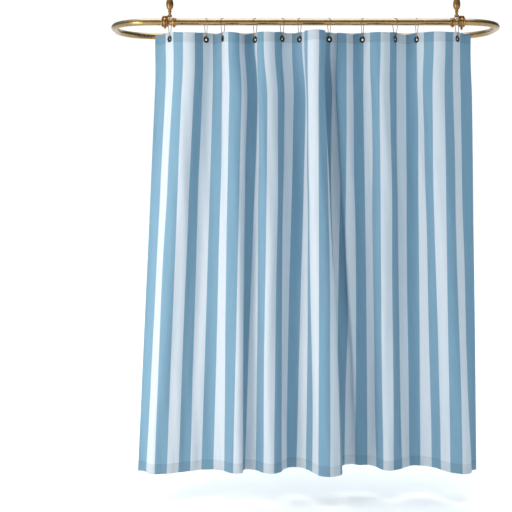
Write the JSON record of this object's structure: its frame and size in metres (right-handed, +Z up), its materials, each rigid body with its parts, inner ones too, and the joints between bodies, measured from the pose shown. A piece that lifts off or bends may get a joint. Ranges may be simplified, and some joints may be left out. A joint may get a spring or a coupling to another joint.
{
  "type": "shower curtain",
  "caption": "Striped fabric shower curtain hung by wire hooks through metal eyelets from a stadium-shaped brass ceiling rail.",
  "frame": {"origin": "on the ceiling plane, above the middle of the rail", "axes": "+X along the rail's long runs, -Y from the rail towards the room, +Z up"},
  "size_m": [1.6746, 0.5459, 2.1718],
  "materials": {
    "brass": "satin",
    "dark_brass": "satin",
    "steel": "satin",
    "wire": "gloss",
    "black_metal": "satin",
    "fabric": "matte"
  },
  "bodies": {
    "rail": {"rail_front_tube": "brass", "rail_left_end": "brass", "rail_right_end": "brass", "rail_back_sleeve": "steel", "rail_grub_screw_left": "steel", "rail_grub_screw_right": "steel", "ceiling_flange_left": "brass", "flange_screw_left_1": "dark_brass", "flange_screw_left_2": "dark_brass", "flange_screw_left_3": "dark_brass", "drop_rod_left": "brass", "tee_barrel_left": "brass", "finial_left": "brass", "ceiling_flange_right": "brass", "flange_screw_right_1": "dark_brass", "flange_screw_right_2": "dark_brass", "flange_screw_right_3": "dark_brass", "drop_rod_right": "brass", "tee_barrel_right": "brass", "finial_right": "brass", "stop_collar_left": "brass", "collar_screw_left": "dark_brass"},
    "collar": {"stop_collar_right": "brass", "collar_screw_right": "dark_brass"},
    "curtain": {"curtain_panel": "fabric", "hook_01": "wire", "eyelet_01": "black_metal"},
    "runner_02": {"hook_02": "wire", "eyelet_02": "black_metal"},
    "runner_03": {"hook_03": "wire", "eyelet_03": "black_metal"},
    "runner_04": {"hook_04": "wire", "eyelet_04": "black_metal"},
    "runner_05": {"hook_05": "wire", "eyelet_05": "black_metal"},
    "runner_06": {"hook_06": "wire", "eyelet_06": "black_metal"},
    "runner_07": {"hook_07": "wire", "eyelet_07": "black_metal"},
    "runner_08": {"hook_08": "wire", "eyelet_08": "black_metal"},
    "runner_09": {"hook_09": "wire", "eyelet_09": "black_metal"},
    "runner_10": {"hook_10": "wire", "eyelet_10": "black_metal"},
    "runner_11": {"hook_11": "wire", "eyelet_11": "black_metal"}
  },
  "joints": [
    {"name": "curtain_swing", "type": "hinge", "parent": "rail", "child": "curtain", "pos_m": [0, -0.2, -0.3], "axis": [1, 0, 0], "range_deg": [-12, 12]},
    {"name": "curtain_draw", "type": "slide", "parent": "curtain", "child": "runner_11", "axis": [1, 0, 0], "range_m": [-0.8, 0], "deforming": ["curtain_panel"]},
    {"name": "hook_10_slide", "type": "slide", "parent": "curtain", "child": "runner_10", "axis": [1, 0, 0], "range_m": [-0.6886, 0]},
    {"name": "hook_09_slide", "type": "slide", "parent": "curtain", "child": "runner_09", "axis": [1, 0, 0], "range_m": [-0.628, 0]},
    {"name": "hook_08_slide", "type": "slide", "parent": "curtain", "child": "runner_08", "axis": [1, 0, 0], "range_m": [-0.5376, 0]},
    {"name": "hook_07_slide", "type": "slide", "parent": "curtain", "child": "runner_07", "axis": [1, 0, 0], "range_m": [-0.4441, 0]},
    {"name": "hook_06_slide", "type": "slide", "parent": "curtain", "child": "runner_06", "axis": [1, 0, 0], "range_m": [-0.3615, 0]},
    {"name": "hook_05_slide", "type": "slide", "parent": "curtain", "child": "runner_05", "axis": [1, 0, 0], "range_m": [-0.3129, 0]},
    {"name": "hook_04_slide", "type": "slide", "parent": "curtain", "child": "runner_04", "axis": [1, 0, 0], "range_m": [-0.2378, 0]},
    {"name": "hook_03_slide", "type": "slide", "parent": "curtain", "child": "runner_03", "axis": [1, 0, 0], "range_m": [-0.1477, 0]},
    {"name": "hook_02_slide", "type": "slide", "parent": "curtain", "child": "runner_02", "axis": [1, 0, 0], "range_m": [-0.1007, 0]},
    {"name": "collar_slide", "type": "slide", "parent": "rail", "child": "collar", "axis": [1, 0, 0], "range_m": [-0.8, 0]}
  ],
  "couplings": [
    {"joint": "hook_10_slide", "follows": "curtain_draw", "ratio": 0.86068},
    {"joint": "hook_09_slide", "follows": "curtain_draw", "ratio": 0.78491},
    {"joint": "hook_08_slide", "follows": "curtain_draw", "ratio": 0.67189},
    {"joint": "hook_07_slide", "follows": "curtain_draw", "ratio": 0.55501},
    {"joint": "hook_06_slide", "follows": "curtain_draw", "ratio": 0.45177},
    {"joint": "hook_05_slide", "follows": "curtain_draw", "ratio": 0.39108},
    {"joint": "hook_04_slide", "follows": "curtain_draw", "ratio": 0.29714},
    {"joint": "hook_03_slide", "follows": "curtain_draw", "ratio": 0.18461},
    {"joint": "hook_02_slide", "follows": "curtain_draw", "ratio": 0.12584},
    {"joint": "collar_slide", "follows": "curtain_draw", "ratio": 1}
  ]
}
